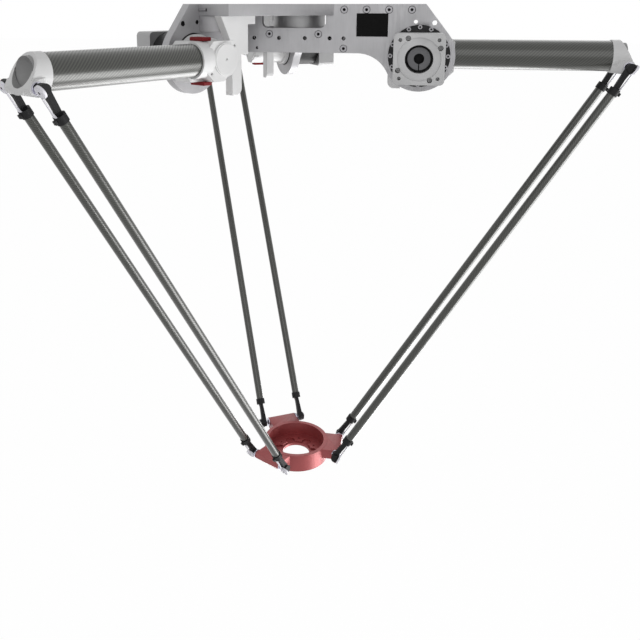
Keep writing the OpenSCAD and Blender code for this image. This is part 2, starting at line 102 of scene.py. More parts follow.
class Nodes:
    """A material's node graph, with short calls for the nodes used here."""

    def __init__(self, name: str) -> None:
        """Starts a material with only its output and a principled shader.

        Args:
            name: The material's name.
        """
        self.material = bpy.data.materials.new(name)
        self.material.use_nodes = True
        self.tree = self.material.node_tree
        self.tree.nodes.clear()
        self.shader = self.add("ShaderNodeBsdfPrincipled")
        self.out = self.add("ShaderNodeOutputMaterial")
        self.join(self.shader, "BSDF", self.out, "Surface")

    def add(self, kind: str, **values: object) -> bpy.types.Node:
        """Adds a node.

        Args:
            kind: The node's type name.
            values: Attributes to set on it.

        Returns:
            The new node.
        """
        node = self.tree.nodes.new(kind)
        for key, value in values.items():
            setattr(node, key, value)
        return node

    def join(self, source: bpy.types.Node, out: str | int, target: bpy.types.Node, into: str | int) -> None:
        """Links an output of one node to an input of another."""
        self.tree.links.new(source.outputs[out], target.inputs[into])

    def set_shader(self, **values: float | tuple[float, ...]) -> None:
        """Sets sockets of the shader, named with _ for each space."""
        for key, value in values.items():
            self.shader.inputs[key.replace("_", " ")].default_value = value

    def coords(self, kind: Coords = Coords.OBJECT) -> bpy.types.Node:
        """Texture coordinates, with the wanted output's name kept on the node."""
        return self.add("ShaderNodeTexCoord", label=kind.value)

    def calculate(self, operation: str, source: bpy.types.Node, out: str,
                  number: float | None = None) -> bpy.types.Node:
        """Does arithmetic on one output of a node.

        Args:
            operation: The Math node's operation.
            source: The node that gives the first number.
            out: Its output's name.
            number: The second number, for an operation that takes one.

        Returns:
            The Math node.
        """
        node = self.add("ShaderNodeMath", operation=operation)
        if number is not None:
            node.inputs[1].default_value = number
        self.join(source, out, node, 0)
        return node

    def noise(self, source: bpy.types.Node, scale: float, detail: float,
              stretch: Place = (1, 1, 1)) -> bpy.types.Node:
        """Noise on stretched coordinates.

        Args:
            source: A coordinates node.
            scale: Cycles per metre along an unstretched axis.
            detail: Octaves of the noise.
            stretch: Factor on each axis.

        Returns:
            The noise node.
        """
        mapping = self.add("ShaderNodeMapping")
        mapping.inputs["Scale"].default_value = stretch
        self.join(source, source.label, mapping, "Vector")
        node = self.add("ShaderNodeTexNoise")
        node.inputs["Scale"].default_value = scale
        node.inputs["Detail"].default_value = detail
        self.join(mapping, "Vector", node, "Vector")
        return node

    def tint(self, source: bpy.types.Node, colour: RGB, spread: float) -> None:
        """Colours the shader by a noise: a ramp from a darker to a lighter shade of one colour.

        Args:
            source: The noise node.
            colour: The middle colour, linear.
            spread: Share by which each end departs from it.
        """
        node = self.add("ShaderNodeValToRGB")
        for element, place, share in zip(node.color_ramp.elements, NOISE_SPAN, (1 - spread, 1 + spread)):
            element.position = place
            element.color = (*(min(1.0, c * share) for c in colour), 1.0)
        self.join(source, "Fac", node, "Fac")
        self.join(node, "Color", self.shader, "Base Color")

    def roughen(self, source: bpy.types.Node, out: str, rough: tuple[float, float],
                span: tuple[float, float]) -> None:
        """Maps a value to the shader's roughness.

        Args:
            source: The node that gives the value.
            out: Its output's name.
            rough: Roughness at each end of the span.
            span: The value's own range.
        """
        node = self.add("ShaderNodeMapRange")
        for key, value in zip(("From Min", "From Max", "To Min", "To Max"), (*span, *rough)):
            node.inputs[key].default_value = value
        self.join(source, out, node, "Value")
        self.join(node, "Result", self.shader, "Roughness")

    def bump(self, source: bpy.types.Node, out: str | int, height: float, strength: float,
             edge: float | None = None) -> None:
        """Bumps the surface.

        Args:
            source: The node that gives the height.
            out: Its output's name or number.
            height: Height of the bump in metres.
            strength: Share of the bump that shows.
            edge: Radius of the rounded edges under the bump, in metres, where there are any.
        """
        node = self.add("ShaderNodeBump")
        node.inputs["Distance"].default_value = height
        node.inputs["Strength"].default_value = strength
        self.join(source, out, node, "Height")
        if edge:
            bevel = self.add("ShaderNodeBevel", samples=EDGE_SAMPLES)
            bevel.inputs["Radius"].default_value = edge
            self.join(bevel, "Normal", node, "Normal")
        self.join(node, "Normal", self.shader, "Normal")


@dataclass(frozen=True)
class Metal:
    """Milled, turned or anodised metal with fine grain and slight tone changes."""

    name: str
    colour: RGB
    rough: float
    metallic: float = 1.0
    grain: Place = (1.0, 1.0, 1.0)
    tone: float = 0.08
    edge: float = 0.0006
    clear: float = 0.0
    clear_rough: float = 0.34
    cloud_pitch: float = 14
    grain_pitch: float = 900
    grain_height: float = 0.00002
    rough_spread: tuple[float, float] = (0.8, 1.25)

    def build(self) -> bpy.types.Material:
        """Makes the material."""
        n = Nodes(self.name)
        place = n.coords()
        n.tint(n.noise(place, self.cloud_pitch, CLOUD_DETAIL), self.colour, self.tone)
        grain = n.noise(place, self.grain_pitch, GRAIN_DETAIL, self.grain)
        n.roughen(grain, "Fac", tuple(self.rough * share for share in self.rough_spread), NOISE_SPAN)
        n.bump(grain, "Fac", self.grain_height, BUMP_STRENGTH, self.edge)
        n.set_shader(Metallic=self.metallic, Coat_Weight=self.clear, Coat_Roughness=self.clear_rough)
        return n.material


@dataclass(frozen=True)
class Coat:
    """Painted, powder-coated or moulded surface with an orange-peel bump."""

    name: str
    colour: RGB
    rough: float
    pitch: float
    height: float
    tone: float = 0.04
    edge: float = 0.0008
    shine: float = 0.5
    cloud_pitch: float = 9
    rough_spread: tuple[float, float] = (0.85, 1.15)

    def build(self) -> bpy.types.Material:
        """Makes the material."""
        n = Nodes(self.name)
        place = n.coords()
        n.tint(n.noise(place, self.cloud_pitch, CLOUD_DETAIL), self.colour, self.tone)
        peel = n.noise(place, self.pitch, GRAIN_DETAIL)
        n.roughen(peel, "Fac", tuple(self.rough * share for share in self.rough_spread), NOISE_SPAN)
        n.bump(peel, "Fac", self.height, BUMP_STRENGTH, self.edge)
        n.set_shader(Specular_IOR_Level=self.shine)
        return n.material


@dataclass(frozen=True)
class Twill:
    """Carbon twill under clear coat, woven on the piece's own UV map in metres."""

    name: str
    tow: float
    # Weft and warp colours: the warp's lighter colour is a painted sheen of the tows that catch the light.
    dark: RGB = (0.008, 0.009, 0.006)
    light: RGB = (0.040, 0.042, 0.033)
    repeat: int = 4
    floats: int = 2
    weft_rough: float = 0.46
    warp_rough: float = 0.28
    crown: float = 0.00008
    crown_strength: float = 0.5
    metallic: float = 0.2
    shine: float = 0.45
    clear: float = 0.9
    clear_rough: float = 0.27

    @property
    def period(self) -> float:
        """Length of one repeat of the weave."""
        return self.repeat * self.tow

    def warp(self, n: Nodes, rows: list[bpy.types.Node]) -> bpy.types.Node:
        """One where warp lies on top: the tows' numbers across u and v, summed, modulo the repeat.

        Args:
            n: The material's graph.
            rows: Place across u and across v, counted in tows.

        Returns:
            The node that is one on warp and zero on weft.
        """
        total = n.add("ShaderNodeMath", operation="ADD")
        for socket, row in enumerate(rows):
            n.join(n.calculate("FLOOR", row, "Value"), "Value", total, socket)
        turn = n.calculate("FLOORED_MODULO", total, "Value", self.repeat)
        return n.calculate("LESS_THAN", turn, "Value", self.floats)

    def build(self) -> bpy.types.Material:
        """Makes the material: each tow is crowned, and warp is smoother than weft and painted lighter as a
        sheen.
        """
        n = Nodes(self.name)
        place = n.coords(Coords.WEAVE)
        split = n.add("ShaderNodeSeparateXYZ")
        n.join(place, place.label, split, "Vector")
        rows = [n.calculate("MULTIPLY", split, out, 1 / self.tow) for out in ("X", "Y")]
        warp = self.warp(n, rows)
        height = n.add("ShaderNodeMix", data_type="FLOAT")
        n.join(warp, "Value", height, "Factor")
        for socket, row in zip(MIX_NUMBERS, rows):
            within = n.calculate("FRACT", row, "Value")
            n.join(n.calculate("PINGPONG", within, "Value", 0.5), "Value", height, socket)
        # Painted sheen: warp tows take the lighter colour.
        tone = n.add("ShaderNodeMix", data_type="RGBA")
        for socket, colour in zip(MIX_COLOURS, (self.dark, self.light)):
            tone.inputs[socket].default_value = (*colour, 1)
        n.join(warp, "Value", tone, "Factor")
        n.join(tone, MIXED_COLOUR, n.shader, "Base Color")
        n.roughen(warp, "Value", (self.weft_rough, self.warp_rough), (0.0, 1.0))
        n.bump(height, 0, self.crown, self.crown_strength)
        n.set_shader(Metallic=self.metallic, Specular_IOR_Level=self.shine, Coat_Weight=self.clear,
                     Coat_Roughness=self.clear_rough)
        return n.material


FINISHES = {
    "plate_aluminium": Metal("Plate aluminium", (0.40, 0.397, 0.408), 0.46, 0.65, grain=(1, 1, 0.05)),
    "light_casting": Coat("Pale casting", (0.76, 0.76, 0.76), 0.44, pitch=900, height=0.000012),
    "gearbox_black": Coat("Gearbox black", (0.008, 0.008, 0.009), 0.46, 800, 0.00002, shine=0.30),
    "adapter_aluminium": Metal("Adapter aluminium", (0.40, 0.40, 0.403), 0.42, 0.6, grain=(1, 0.2, 1)),
    "dark_steel": Metal("Turned steel", (0.115, 0.115, 0.12), 0.45, 0.6, grain=(1, 0.2, 1)),
    "carbon_tube": Twill("Carbon twill, arm", tow=0.0016),
    "carbon_rod": Twill("Carbon twill, rod", tow=0.0013),
    "polished_steel": Metal("Polished steel", (0.62, 0.61, 0.70), 0.16, tone=0.03),
    "red_rubber": Coat("Red buffer", (0.17, 0.004, 0.007), 0.62, 300, 0.00006, tone=0.10, shine=0.3),
    "black_moulding": Coat("Black moulding", (0.006, 0.006, 0.007), 0.55, 900, 0.00004, shine=0.25),
    "white_moulding": Coat("White moulding", (0.90, 0.89, 0.95), 0.30, 700, 0.00002),
    "screw_steel": Metal("Screw steel", (0.34, 0.335, 0.35), 0.40, 0.7, edge=0.0003),
    # Painted shade: the near-black colour given to the walls and floors of narrow holes and bores in place of
    # their shade.
    "bore": Coat("Unlit bore", (0.010, 0.010, 0.011), 0.60, 600, 0.00002, shine=0.15),
    "label_black": Coat("Bare plate", (0.002, 0.002, 0.002), 0.60, 400, 0.00001, shine=0.10),
    "red_anodised": Metal("Red anodised", (0.33, 0.062, 0.064), 0.44, 0.48, grain=(1, 1, 0.2), tone=0.10,
                          clear=0.35),
    # Painted shade: a darker grey for the plug and the walls inside the elbow's mouth, in place of their
    # shade.
    "painted_mouth_shade": Coat("Casting, painted shade inside", (0.30, 0.30, 0.30), 0.50, 500, 0.00004),
}


def show(name: str, data: bpy.types.ID) -> bpy.types.Object:
    """Puts an object with this mesh, lamp or camera into the scene.

    Args:
        name: The object's name.
        data: Its mesh, lamp or camera.

    Returns:
        The new object.
    """
    thing = bpy.data.objects.new(name, data)
    bpy.context.scene.collection.objects.link(thing)
    return thing


def smooth(mesh: bpy.types.Mesh, angle: float) -> None:
    """Shades a mesh smooth, apart from edges that are sharper than the angle."""
    mesh.polygons.foreach_set("use_smooth", np.ones(len(mesh.polygons), bool))
    mesh.set_sharp_from_angle(angle=angle)


def ring_faces(rows: int, cols: int, closed: bool = False) -> np.ndarray:
    """Quads between rings of points: ring r, column c is point r * cols + c, and columns join round.

    Args:
        rows: Number of rings.
        cols: Points in each ring.
        closed: Whether the last ring joins the first.

    Returns:
        Point numbers, one quad a row.
    """
    row, col = np.meshgrid(np.arange(rows if closed else rows - 1), np.arange(cols), indexing="ij")
    above, beside = (row + 1) % rows, (col + 1) % cols
    corners = [row * cols + col, row * cols + beside, above * cols + beside, above * cols + col]
    return np.stack(corners, -1).reshape(-1, 4)


def join_shells(shells: list[Shell]) -> Shell:
    """Joins shells into one: the points of all in a row, and the faces renumbered to match.

    Args:
        shells: Points and faces of each shell.

    Returns:
        Points and faces of them all.
    """
    starts = np.cumsum([0] + [len(points) for points, _ in shells])
    faces = [faces + start for (_, faces), start in zip(shells, starts)]
    return np.vstack([points for points, _ in shells]), np.vstack(faces)


def closed_piece(name: str, points: Grid, faces: np.ndarray) -> bpy.types.Object:
    """Makes an object of closed shells: poles and seams merged, faces turned outwards, curves smooth.

    Args:
        name: The object's name.
        points: Vertices, one row each.
        faces: Quads, one row each.

    Returns:
        The new object.
    """
    mesh = bpy.data.meshes.new(name)
    mesh.from_pydata(points, [], faces.tolist())
    bm = bmesh.new()
    bm.from_mesh(mesh)
    bmesh.ops.remove_doubles(bm, verts=bm.verts, dist=POLE_GAP)
    bmesh.ops.recalc_face_normals(bm, faces=bm.faces)
    bm.to_mesh(mesh)
    bm.free()
    smooth(mesh, CREASE)
    return show(name, mesh)


@dataclass
class Workshop:
    """Makes finishes once, and turns grids and solids into dressed pieces."""

    made: dict[str, bpy.types.Material] = field(default_factory=dict)
    solid_gap: float = 1e-6
    solid_flat: float = math.radians(0.3)
    solid_crease: float = math.radians(32)
    bevel_steps: int = 2
    ray_lean: float = math.radians(65)
    ray_start: float = 1e-5

    def finish(self, slot: str) -> bpy.types.Material:
        """The material of a slot, made on first use."""
        if slot not in self.made:
            self.made[slot] = FINISHES[slot].build()
        return self.made[slot]

    def body_of(self, node: str) -> str:
        """The body that holds a CAD node."""
        bodies = frame["record"]["behaviour"]["bodies"]
        return next(body for body, nodes in bodies.items() if node in nodes)

    def slot_of(self, node: str) -> str:
        """The material slot of a CAD node."""
        return next(s["material_slot"] for s in frame["record"]["subparts"] if s["node"] == node)

    def dress(self, node: str) -> None:
        """Gives a CAD node its slot's material and leaves its mesh alone."""
        data = frame["nodes"][node].data
        data.materials.clear()
        data.materials.append(self.finish(self.slot_of(node)))

    def settle(self, piece: bpy.types.Object, node: str) -> bpy.types.Object:
        """Dresses a new piece as its node and lets it stand for that node.

        Args:
            piece: The new object, in place.
            node: The CAD node that it replaces.

        Returns:
            The same object.
        """
        slot = self.slot_of(node)
        piece.data.materials.clear()
        piece.data.materials.append(self.finish(slot))
        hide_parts(node)
        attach(piece, self.body_of(node))
        LOG.info("%s: %d faces", piece.name, len(piece.data.polygons))
        return piece

    def from_solid(self, node: str, width: float) -> bpy.types.Object:
        """A merged copy of a solid, flat faces joined, edges bevelled and curved faces smooth.

        Args:
            node: The CAD node to copy.
            width: Width of the bevel in metres.

        Returns:
            The dressed copy.
        """
        bm = bmesh.new()
        bm.from_mesh(frame["nodes"][node].data)
        bmesh.ops.remove_doubles(bm, verts=bm.verts, dist=self.solid_gap)
        bmesh.ops.dissolve_limit(bm, angle_limit=self.solid_flat, verts=bm.verts, edges=bm.edges)
        mesh = bpy.data.meshes.new(f"fine_{node}")
        bm.to_mesh(mesh)
        bm.free()
        piece = show(mesh.name, mesh)
        smooth(mesh, self.solid_crease)
        bevel = piece.modifiers.new("Edges", "BEVEL")
        bevel.width, bevel.segments = width, self.bevel_steps
        bevel.limit_method, bevel.angle_limit = "ANGLE", self.solid_crease
        bevel.use_clamp_overlap, bevel.harden_normals = True, True
        return self.settle(piece, node)

    def shade_recesses(self, piece: bpy.types.Object, reach: float, least: int = 3) -> None:
        """Paints shade into narrow holes: their walls and floors get the near-black colour of an unlit bore.

        Five rays leave each face, one along its normal and four that lean away from it. The face lies in
        a hole if enough of them meet the same piece within reach.

        Args:
            piece: A settled piece.
            reach: Widest hole that counts, in metres.
            least: How many of the rays have to meet the piece.
        """
        mesh = piece.data
        bm = bmesh.new()
        bm.from_mesh(mesh)
        tree = BVHTree.FromBMesh(bm)
        bm.free()
        # Painted shade: a second, near-black material for the faces found inside holes.
        mesh.materials.append(self.finish("bore"))
        along, aside = math.cos(self.ray_lean), math.sin(self.ray_lean)
        for face in mesh.polygons:
            normal = face.normal
            side = normal.orthogonal().normalized()
            other = normal.cross(side)
            ways = [normal] + [normal * along + way * aside for way in (side, -side, other, -other)]
            start = face.center + normal * self.ray_start
            met = sum(tree.ray_cast(start, way, reach)[0] is not None for way in ways)
            face.material_index = int(met >= least)


@dataclass(frozen=True)
class Leg:
    """Frame of one leg: out along it, across it, and up from the shoulder axis.

    It also holds where the leg's balls lie, and how far its rods lean from the vertical.
    """

    name: str
    elbow_out: float = 0.650
    elbow_height: float = -0.020
    ball_across: float = 0.048
    wrist_out: float = 0.100
    wrist_height: float = -0.926146
    rod_length: float = 1.060
    lean: float = math.radians(31.256)

    @property
    def shoulder(self) -> Vector:
        """The arm joint's place."""
        joints = frame["record"]["behaviour"]["joints"]
        return Vector(next(j for j in joints if j["name"] == f"arm_{self.name}_swing")["pos_m"])

    @property
    def ahead(self) -> Vector:
        """Unit vector outwards along the leg."""
        shoulder = self.shoulder
        shoulder.z = 0
        return shoulder.normalized()

    @property
    def sideways(self) -> Vector:
        """Unit vector across the leg."""
        return self.point(0, 1, 0) - self.point(0, 0, 0)

    @property
    def turn(self) -> float:
        """The leg's angle about the robot's centre line."""
        shoulder = self.shoulder
        return math.atan2(shoulder.y, shoulder.x)

    def place(self, out: Grid, across: Grid, up: Grid) -> Grid:
        """Turns leg coordinates into the model's: x = out cos turn - across sin turn, and so on.

        Args:
            out: Distance from the robot's centre line.
            across: Distance across the leg.
            up: Height above the shoulder axis.

        Returns:
            Points, one row each.
        """
        c, s = math.cos(self.turn), math.sin(self.turn)
        return np.stack([out * c - across * s, out * s + across * c, up + self.shoulder.z], -1).reshape(-1, 3)

    def local(self, points: Grid) -> tuple[Grid, Grid, Grid]:
        """Turns the model's points into leg coordinates, the reverse of place.

        Args:
            points: Points, one row each.

        Returns:
            Out, across and up, as place takes them.
        """
        c, s = math.cos(self.turn), math.sin(self.turn)
        x, y, z = points.T
        return x * c + y * s, y * c - x * s, z - self.shoulder.z

    def point(self, out: float, across: float, up: float) -> Vector:
        """One point in leg coordinates, in the model's frame."""
        return Vector(self.place(np.array(out), np.array(across), np.array(up))[0])


@dataclass
class TubeSet:
    """Carbon tubes with a UV map in metres, so that the weave wraps them."""

    shop: Workshop
    around: int = 96
    stations: int = 10
    chamfer: float = 0.0006
    chamfer_share: float = 0.3

    def tube(self, start: Vector, end: Vector, outer: float, wall: float, period: float) -> WovenShell:
        """A closed tube: the profile outer start, outer end, inner end, inner start, turned round its axis.

        Args:
            start: Centre of one end.
            end: Centre of the other.
            outer: Outside radius.
            wall: Wall thickness.
            period: Length of one repeat of the weave, so that whole repeats go round.

        Returns:
            Vertices, quads and UV coordinates of each quad's corners.
        """
        axis = (end - start).normalized()
        side = axis.orthogonal().normalized()
        up = axis.cross(side)
        length = (end - start).length
        chamfer = min(self.chamfer, wall * self.chamfer_share)
        between = np.linspace(0, length, self.stations)[1:-1]
        along = np.array([0, chamfer, *between, length - chamfer, length, length, 0])
        inner = outer - wall
        radius = np.array([outer - chamfer, *[outer] * self.stations, outer - chamfer, inner, inner])
        angle = np.linspace(0, 2 * np.pi, self.around, endpoint=False)
        ring = np.cos(angle)[:, None] * np.array(side) + np.sin(angle)[:, None] * np.array(up)
        points = (np.array(start) + along[:, None, None] * np.array(axis)
                  + radius[:, None, None] * ring[None]).reshape(-1, 3)
        faces = ring_faces(len(along), self.around, closed=True)[:, ::-1]
        col = faces % self.around
        wrap = (col == 0) & ((col == self.around - 1).any(1))[:, None]
        girth = round(2 * np.pi * outer / period) * period
        u = np.where(wrap, self.around, col) / self.around * girth
        return points, faces, np.stack([u, along[faces // self.around]], -1)

    def settle(self, node: str, tubes: list[WovenShell]) -> None:
        """Joins tubes into one piece and lets it stand for a node.

        Args:
            node: The CAD node that the piece replaces.
            tubes: The tubes, as tube gives them.
        """
        points, faces = join_shells([(points, faces) for points, faces, _ in tubes])
        weave = np.vstack([uv.reshape(-1, 2) for _, _, uv in tubes])
        mesh = bpy.data.meshes.new(f"woven_{node}")
        mesh.from_pydata(points, [], faces.tolist())
        mesh.uv_layers.new(name="weave").data.foreach_set("uv", weave.astype(np.float32).ravel())
        smooth(mesh, CREASE)
        self.shop.settle(show(mesh.name, mesh), node)


@dataclass
class Limb:
    """One leg's arm tube, forearm rods and elbow plug."""

    leg: Leg
    tubes: TubeSet
    tube_radius: float = 0.030
    tube_wall: float = 0.0025
    tube_in: float = 0.288
    tube_out: float = 0.632
    rod_radius: float = 0.0085
    rod_wall: float = 0.002
    rod_inset: float = 0.054
    plug_seat: float = 0.6335
    plug_depth: float = 0.0140
    plug_radius: float = 0.0259
    plug_plate: float = 0.001
    plug_curve: float = 2.5
    plug_around: int = 64
    plug_rows: int = 12

    def arm_tube(self) -> WovenShell:
        """The tube between hub and elbow."""
        start, end = (self.leg.point(out, 0, 0) for out in (self.tube_in, self.tube_out))
        return self.tubes.tube(start, end, self.tube_radius, self.tube_wall, FINISHES["carbon_tube"].period)

    def rod(self, side: int) -> WovenShell:
        """One rod's tube, which ends short of both balls.

        Args:
            side: 1 or -1 for the rod on either side of the leg.

        Returns:
            The tube.
        """
        leg = self.leg
        top = leg.point(leg.elbow_out, side * leg.ball_across, leg.elbow_height)
        low = leg.point(leg.wrist_out, side * leg.ball_across, leg.wrist_height)
        inset = (low - top).normalized() * self.rod_inset
        return self.tubes.tube(top + inset, low - inset, self.rod_radius, self.rod_wall,
                               FINISHES["carbon_rod"].period)

    def plug(self) -> None:
        """Closes the arm tube inside the elbow's mouth with a dished plug.

        Front: out = seat + depth * (radius / largest) ** curve; back: a flat disc just behind it.
        """
        front = np.linspace(0, self.plug_radius, self.plug_rows)
        dish = self.plug_seat + self.plug_depth * (front / self.plug_radius) ** self.plug_curve
        radius = np.concatenate([front, [self.plug_radius, 0.0]])
        out = np.concatenate([dish, [self.plug_seat - self.plug_plate] * 2])
        angle = np.linspace(0, 2 * np.pi, self.plug_around, endpoint=False)
        points = self.leg.place(np.repeat(out[:, None], len(angle), 1), radius[:, None] * np.cos(angle),
                                radius[:, None] * np.sin(angle))
        plug = closed_piece(f"elbow_plug_{self.leg.name}", points, ring_faces(len(out), len(angle)))
        # Painted shade: the plug takes the darker grey of the mouth's inside.
        plug.data.materials.append(self.tubes.shop.finish("painted_mouth_shade"))
        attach(plug, f"arm_{self.leg.name}")
        LOG.info("%s: %d faces", plug.name, len(plug.data.polygons))

    def build(self) -> None:
        """Builds the arm tube, both rods and the plug."""
        name = self.leg.name
        self.tubes.settle(f"arm_tube_{name}", [self.arm_tube()])
        self.tubes.settle(f"rods_{name}", [self.rod(side) for side in (1, -1)])
        self.plug()


@dataclass(frozen=True)
class RodEnd:
    """Frame of one rod's end: origin at the ball, x away from the robot, z up along the rod."""

    leg: Leg
    side: int
    low: bool

    def place(self, x: Grid, y: Grid, z: Grid) -> Grid:
        """Out = elbow + x cos lean + w sin lean, up = drop - x sin lean + w cos lean, w = z or its mirror.

        Args:
            x: Distance away from the robot, square to the rod.
            y: Distance across the leg from its mid-plane.
            z: Distance up from the ball along the rod; the low end is the mirror of the high one.

        Returns:
            Points, one row each.
        """
        leg = self.leg
        w = -leg.rod_length - z if self.low else z
        c, s = math.cos(leg.lean), math.sin(leg.lean)
        out, up = leg.elbow_out + x * c + w * s, leg.elbow_height - x * s + w * c
        return leg.place(out, self.side * y + 0 * x, up)


@dataclass
class Clips:
    """Quick-release clips: a ringed cap over each ball, and a lever that widens towards the tube."""

    shop: Workshop
    cap_radius: float = 0.0110
    cap_across: float = 0.0515
    cap_base: float = 0.0045
    cap_under: float = 0.0070
    cap_wall: float = 0.0012
    cap_draft: float = 0.0002
    cap_around: int = 56
    cap_rows: int = 30
    face: float = 0.0085
    dome: float = 0.0012
    rim: float = 0.0006
    ring: float = 0.0006
    ring_step: float = 0.0036
    hole_radius: float = 0.0024
    hole_depth: float = 0.0024
    hole_reach: float = 0.00528
    hole_rays: int = 4
    lever_across: float = 0.048
    lever_face: float = 0.0093
    lever_top: float = -0.0095
    lever_length: float = 0.0370
    lever_depth: tuple[float, float, float] = (0.0011, 0.0002, 0.0005)
    lever_width: tuple[float, float, float] = (0.0018, 0.0004, 0.0028)
    flare_from: float = 0.66
    roundness: float = 0.6
    lever_around: int = 20
    lever_rows: int = 26

    def cap(self, end: RodEnd) -> Shell:
        """A profile turned round x: face + dome (1 - (r/R)^2) + ring cos(2 pi r / step), hollow underneath.

        Args:
            end: The rod's end that it covers.

        Returns:
            Points and quads.
        """
        r = np.linspace(self.hole_radius, self.cap_radius - self.rim, self.cap_rows)
        x = self.face + self.dome * (1 - (r / self.cap_radius) ** 2)
        x += self.ring * np.cos(2 * np.pi * r / self.ring_step)
        floor, inside = x[0] - self.hole_depth, self.cap_radius - self.cap_wall
        r = np.concatenate([[0, self.hole_radius], r,
                            [self.cap_radius, self.cap_radius, inside, inside - self.cap_draft, 0]])
        x = np.concatenate([[floor, floor], x,
                            [x[-1] - self.rim, self.cap_base, self.cap_base, self.cap_under, self.cap_under]])
        angle = np.linspace(0, 2 * np.pi, self.cap_around, endpoint=False)
        points = end.place(np.repeat(x[:, None], len(angle), 1), self.cap_across + r[:, None] * np.cos(angle),
                           r[:, None] * np.sin(angle))
        return points, ring_faces(len(r), len(angle))

    def lever(self, end: RodEnd) -> Shell:
        """A rounded bar: half depth and half width grow along the rod, and fastest in the flare near its end.

        Args:
            end: The rod's end that it lies on.

        Returns:
            Points and quads.
        """
        s = np.linspace(0, 1, self.lever_rows)
        flare = np.clip((s - self.flare_from) / (1 - self.flare_from), 0, 1) ** 2
        ends = np.concatenate([[0], np.ones(len(s)), [0]])
        s, flare = np.pad(s, 1, "edge"), np.pad(flare, 1, "edge")
        depth, width = (top + along * s + flared * flare
                        for top, along, flared in (self.lever_depth, self.lever_width))
        angle = np.linspace(0, 2 * np.pi, self.lever_around, endpoint=False)
        round_x, round_y = (np.abs(wave) ** self.roundness * np.sign(wave)
                            for wave in (np.cos(angle), np.sin(angle)))
        x = (self.lever_face - depth)[:, None] + (depth * ends)[:, None] * round_x
        y = self.lever_across + (width * ends)[:, None] * round_y
        z = np.repeat((self.lever_top - self.lever_length * s)[:, None], len(angle), 1)
        return end.place(x, y, z), ring_faces(len(s), len(angle))

    def build(self, leg: Leg) -> None:
        """Builds the four clips of a leg as one piece that stands for their node.

        Args:
            leg: The leg.
        """
        ends = [RodEnd(leg, side, low) for side in (1, -1) for low in (False, True)]
        shells = [shell for end in ends for shell in (self.cap(end), self.lever(end))]
        piece = closed_piece(f"clip_set_{leg.name}", *join_shells(shells))
        self.shop.settle(piece, f"rod_clips_{leg.name}")
        # Painted shade in the holes of the caps.
        self.shop.shade_recesses(piece, self.hole_reach, self.hole_rays)


